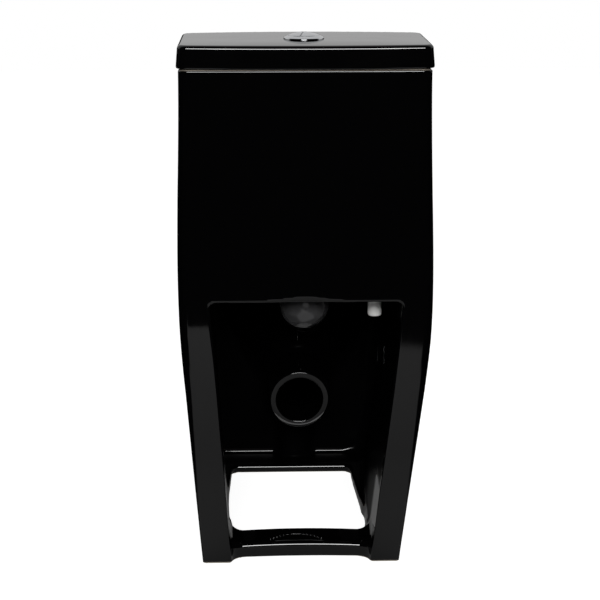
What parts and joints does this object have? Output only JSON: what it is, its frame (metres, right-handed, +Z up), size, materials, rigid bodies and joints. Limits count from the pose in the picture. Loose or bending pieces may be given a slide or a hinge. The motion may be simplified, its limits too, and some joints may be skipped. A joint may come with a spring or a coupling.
{
  "type": "one-piece skirted toilet",
  "caption": "Floor-standing toilet with a fused tank, skirted pan, hinged seat and cover, push-button flush and a rear opening round its horizontal waste spigot.",
  "frame": {"origin": "on the floor, under the middle of the outer box", "axes": "+Z up, +Y towards the wall behind, -Y towards the sitter, X across"},
  "size_m": [0.371, 0.68, 0.7811],
  "materials": {
    "black_glaze": "gloss",
    "black_seat": "gloss",
    "chrome": "polished",
    "white_plastic": "satin",
    "grey_plastic": "satin",
    "blue_plastic": "satin",
    "ivory_plastic": "satin",
    "black_rubber": "matte",
    "clear_pad": "satin",
    "brass": "satin",
    "steel": "satin"
  },
  "bodies": {
    "china": {"tank_shell": "black_glaze", "pedestal": "black_glaze", "bowl": "black_glaze", "trapway": "black_glaze", "flush_elbow": "black_glaze", "lid_pads": "clear_pad", "valve_base": "white_plastic", "valve_gasket": "black_rubber", "valve_bolts": "brass", "valve_bolt_nuts": "brass", "valve_tower": "white_plastic", "lever_pins": "steel", "fill_valve_body": "white_plastic", "fill_valve_head": "grey_plastic", "float_lever_pin": "steel", "inlet_washer": "black_rubber", "inlet_nut": "white_plastic", "hinge_rosettes": "chrome", "hinge_posts": "chrome", "hinge_pins": "steel", "hinge_studs": "steel", "hinge_nuts": "steel"},
    "lid": {"tank_lid": "black_glaze", "button_collar": "chrome", "button_nut": "white_plastic", "full_button_spring": "steel", "half_button_spring": "steel"},
    "full_button": {"full_flush_button": "chrome", "full_push_rod": "blue_plastic"},
    "half_button": {"half_flush_button": "chrome", "half_push_rod": "blue_plastic"},
    "flush_tube": {"overflow_tube": "ivory_plastic", "valve_seal": "black_rubber"},
    "half_float": {"half_flush_float": "grey_plastic"},
    "full_rocker": {"full_lever": "blue_plastic"},
    "half_rocker": {"half_lever": "blue_plastic"},
    "fill_float": {"float_cup": "grey_plastic", "float_link": "steel"},
    "fill_lever": {"float_lever": "grey_plastic"},
    "seat": {"seat_ring": "black_seat", "seat_bumpers": "black_rubber"},
    "cover": {"seat_cover": "black_seat", "cover_bumpers": "black_rubber"}
  },
  "joints": [
    {"name": "lid_lift", "type": "slide", "parent": "china", "child": "lid", "axis": [0, 0, 1], "range_m": [0, 0.12]},
    {"name": "full_press", "type": "slide", "parent": "lid", "child": "full_button", "axis": [0, 0, -1], "range_m": [0, 0.006], "stiffness_N_per_m": 500, "springref_m": -0.003, "deforming": ["full_button_spring"]},
    {"name": "half_press", "type": "slide", "parent": "lid", "child": "half_button", "axis": [0, 0, -1], "range_m": [0, 0.006], "stiffness_N_per_m": 500, "springref_m": -0.003, "deforming": ["half_button_spring"]},
    {"name": "flush_lift", "type": "slide", "parent": "china", "child": "flush_tube", "axis": [0, 0, 1], "range_m": [0, 0.0104]},
    {"name": "half_float_lift", "type": "slide", "parent": "china", "child": "half_float", "axis": [0, 0, 1], "range_m": [0, 0.0104]},
    {"name": "full_rock", "type": "hinge", "parent": "china", "child": "full_rocker", "pos_m": [0.03, 0.245, 0.6805], "axis": [0, -1, 0], "range_deg": [0, 20]},
    {"name": "half_rock", "type": "hinge", "parent": "china", "child": "half_rocker", "pos_m": [-0.03, 0.245, 0.6805], "axis": [0, 1, 0], "range_deg": [0, 20]},
    {"name": "float_rise", "type": "slide", "parent": "china", "child": "fill_float", "axis": [0, 0, 1], "range_m": [0, 0.02]},
    {"name": "float_rock", "type": "hinge", "parent": "china", "child": "fill_lever", "pos_m": [-0.107, 0.245, 0.7185], "axis": [0, 1, 0], "range_deg": [0, 30]},
    {"name": "seat_hinge", "type": "hinge", "parent": "china", "child": "seat", "pos_m": [0, 0.072, 0.437], "axis": [-1, 0, 0], "range_deg": [0, 92]},
    {"name": "cover_hinge", "type": "hinge", "parent": "seat", "child": "cover", "pos_m": [0, 0.072, 0.437], "axis": [1, 0, 0], "range_deg": [-94, 0]}
  ],
  "couplings": [
    {"joint": "flush_lift", "follows": "full_press", "ratio": 1.7},
    {"joint": "full_rock", "follows": "full_press", "rad_per_m": 55},
    {"joint": "half_float_lift", "follows": "half_press", "ratio": 1.7},
    {"joint": "half_rock", "follows": "half_press", "rad_per_m": 55},
    {"joint": "float_rock", "follows": "float_rise", "rad_per_m": 25.3}
  ]
}
